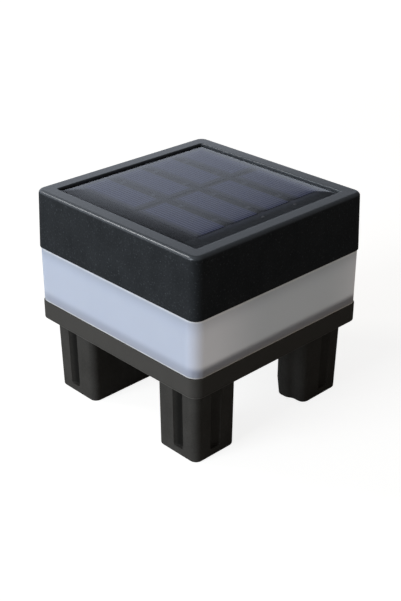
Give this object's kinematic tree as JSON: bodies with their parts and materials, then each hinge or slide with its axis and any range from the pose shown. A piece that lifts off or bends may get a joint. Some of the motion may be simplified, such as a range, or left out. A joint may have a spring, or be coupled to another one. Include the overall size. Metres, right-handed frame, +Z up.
{
  "type": "solar pole light",
  "caption": "Square solar light that caps a hollow post, with a panel on top, a frosted light band, plug-in legs, a battery bay and a slide switch underneath",
  "frame": {"origin": "bottom centre of the bounding box: under the middle of the light, level with the ends of the legs", "axes": "+Z up towards the solar panel, +X to the right and -Y to the front; the battery bay is on the -X side and the switch is towards -Y"},
  "size_m": [0.07, 0.07, 0.067],
  "materials": {
    "black_plastic": "fine moulded grain, matte",
    "gasket_rubber": "soft matte",
    "frosted_plastic": "frosted, translucent",
    "foam": "closed-cell foam",
    "board_dark": "satin laminate",
    "solar_cell": "silicon under resin",
    "tinned_metal": "tinned",
    "clear_resin": "clear, glossy",
    "white_plastic": "satin white",
    "board_green": "solder mask",
    "lamp_resin": "clear",
    "chip_plastic": "moulded",
    "coil_coating": "lacquered",
    "capacitor_ceramic": "ceramic",
    "plated_steel": "zinc or nickel plated",
    "brown_laminate": "phenolic",
    "brass_plate": "plated",
    "switch_plastic": "moulded",
    "sleeve_plastic": "shrink sleeve",
    "wire_red": "soft wire covering",
    "wire_black": "soft wire covering"
  },
  "bodies": {
    "light": {"base_housing": "black_plastic", "lower_gasket": "gasket_rubber", "diffuser": "frosted_plastic", "upper_gasket": "gasket_rubber", "top_cover": "black_plastic", "panel_seal": "foam", "solar_board": "board_dark", "solar_cells": "solar_cell", "cell_ribbons": "tinned_metal", "solder_spots": "tinned_metal", "panel_resin": "clear_resin", "reflector": "white_plastic", "light_board": "board_green", "lamps": "lamp_resin", "lamp_leads": "tinned_metal", "driver_chip": "chip_plastic", "coil": "coil_coating", "coil_leads": "tinned_metal", "capacitor": "capacitor_ceramic", "switch_case": "plated_steel", "switch_block": "brown_laminate", "switch_terminals": "brass_plate", "switch_screws": "plated_steel", "board_screws": "plated_steel", "battery_can": "plated_steel", "battery_sleeve": "sleeve_plastic", "contact_plate": "brass_plate", "spring_plate": "tinned_metal", "contact_spring": "tinned_metal", "assembly_screws": "plated_steel", "panel_wires": "wire_red", "battery_wires": "wire_black", "switch_wire": "wire_red"},
    "switch": {"switch_lever": "switch_plastic"},
    "bay_cover": {"battery_cover": "black_plastic", "battery_pad": "foam", "lid_screws": "plated_steel"}
  },
  "joints": [
    {"name": "switch_slide", "type": "slide", "parent": "light", "child": "switch", "axis": [1, 0, 0], "range_m": [0, 0.002]},
    {"name": "bay_cover_lift", "type": "slide", "parent": "light", "child": "bay_cover", "axis": [0, 0, -1], "range_m": [0, 0.015]}
  ]
}
